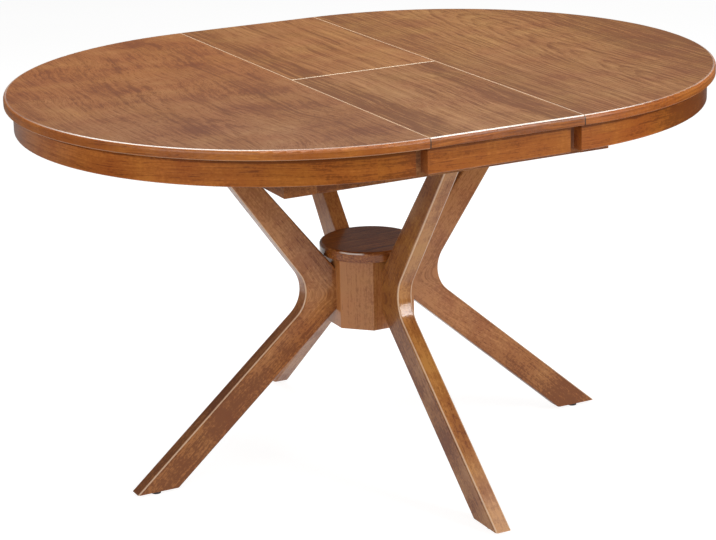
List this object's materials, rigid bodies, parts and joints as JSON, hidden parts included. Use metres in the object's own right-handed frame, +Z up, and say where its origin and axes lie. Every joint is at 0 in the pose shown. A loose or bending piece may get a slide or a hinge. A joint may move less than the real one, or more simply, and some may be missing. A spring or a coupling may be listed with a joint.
{
  "type": "butterfly leaf table",
  "caption": "Oval extension table: half-round tops slide apart on geared wooden slides over a bent-leg pedestal, with a folding butterfly leaf between them.",
  "frame": {"origin": "on the floor, straight under the middle of the top", "axes": "+X along the table's length, the way the right top slides out; +Y to the rear; +Z up"},
  "size_m": [1.3714, 1.0668, 0.762],
  "materials": {
    "top_veneer": "satin lacquered veneer",
    "apron_wood": "satin lacquer",
    "leg_wood": "satin lacquer",
    "cap_wood": "satin lacquer",
    "frame_wood": "stained, matt",
    "slide_wood": "unfinished hardwood",
    "block_wood": "unfinished softwood",
    "dowel_wood": "plain beech",
    "screw_steel": "zinc plated",
    "pivot_steel": "plain steel",
    "hinge_brass": "satin",
    "gear_nylon": "natural nylon",
    "glide_plastic": "black"
  },
  "bodies": {
    "pedestal": {"foot_glides": "glide_plastic", "frame_bar_front": "frame_wood", "frame_bar_left": "frame_wood", "frame_bar_rear": "frame_wood", "frame_bar_right": "frame_wood", "frame_corner_blocks": "block_wood", "frame_corner_screws": "screw_steel", "glide_nails": "screw_steel", "hub_bolts": "screw_steel", "hub_cap": "cap_wood", "hub_cap_dowels": "dowel_wood", "hub_nuts": "screw_steel", "hub_post": "leg_wood", "hub_washers": "screw_steel", "leaf_rest_front": "slide_wood", "leaf_rest_rear": "slide_wood", "leaf_rest_screws": "screw_steel", "leg_front": "leg_wood", "leg_left": "leg_wood", "leg_rear": "leg_wood", "leg_right": "leg_wood", "leg_top_bolts": "screw_steel", "pinion_axles": "pivot_steel", "pivot_rail_dowels": "dowel_wood", "pivot_rail_left": "slide_wood", "pivot_rail_right": "slide_wood", "slide_rail_front": "slide_wood", "slide_rail_rear": "slide_wood", "slide_rail_screws": "screw_steel"},
    "left_top": {"left_apron": "apron_wood", "left_apron_blocks": "block_wood", "left_rack_front": "gear_nylon", "left_rack_rear": "gear_nylon", "left_runner_front": "slide_wood", "left_runner_rear": "slide_wood", "left_runner_screws": "screw_steel", "left_top_panel": "top_veneer"},
    "right_top": {"right_apron": "apron_wood", "right_apron_blocks": "block_wood", "right_rack_front": "gear_nylon", "right_rack_rear": "gear_nylon", "right_runner_front": "slide_wood", "right_runner_rear": "slide_wood", "right_runner_screws": "screw_steel", "right_top_panel": "top_veneer"},
    "front_pinion": {"front_pinion": "gear_nylon"},
    "rear_pinion": {"rear_pinion": "gear_nylon"},
    "leaf_rear": {"leaf_bracket_left": "pivot_steel", "leaf_bracket_right": "pivot_steel", "leaf_bracket_screws": "screw_steel", "leaf_hinge_rear": "hinge_brass", "leaf_pivot_pins": "pivot_steel", "leaf_rear_apron": "apron_wood", "leaf_rear_blocks": "block_wood", "leaf_rear_panel": "top_veneer"},
    "leaf_front": {"leaf_front_apron": "apron_wood", "leaf_front_blocks": "block_wood", "leaf_front_panel": "top_veneer", "leaf_hinge_front": "hinge_brass"}
  },
  "joints": [
    {"name": "left_top_slide", "type": "slide", "parent": "pedestal", "child": "left_top", "axis": [-1, 0, 0], "range_m": [0, 0.06]},
    {"name": "right_top_slide", "type": "slide", "parent": "pedestal", "child": "right_top", "axis": [1, 0, 0], "range_m": [0, 0.06]},
    {"name": "front_pinion_spin", "type": "hinge", "parent": "pedestal", "child": "front_pinion", "pos_m": [0, -0.3005, 0.729], "axis": [0, 0, 1], "range_deg": [0, 246]},
    {"name": "rear_pinion_spin", "type": "hinge", "parent": "pedestal", "child": "rear_pinion", "pos_m": [0, 0.3005, 0.729], "axis": [0, 0, 1], "range_deg": [0, 246]},
    {"name": "leaf_rear_lift", "type": "hinge", "parent": "pedestal", "child": "leaf_rear", "pos_m": [0, 0.13335, 0.7185], "axis": [1, 0, 0], "range_deg": [0, 90]},
    {"name": "leaf_front_fold", "type": "hinge", "parent": "leaf_rear", "child": "leaf_front", "pos_m": [0, 0, 0.7624], "axis": [1, 0, 0], "range_deg": [-180, 0]}
  ],
  "couplings": [
    {"joint": "right_top_slide", "follows": "left_top_slide", "ratio": 1},
    {"joint": "front_pinion_spin", "follows": "left_top_slide", "rad_per_m": 71.429},
    {"joint": "rear_pinion_spin", "follows": "left_top_slide", "rad_per_m": 71.429},
    {"joint": "leaf_front_fold", "follows": "leaf_rear_lift", "ratio": -2}
  ]
}
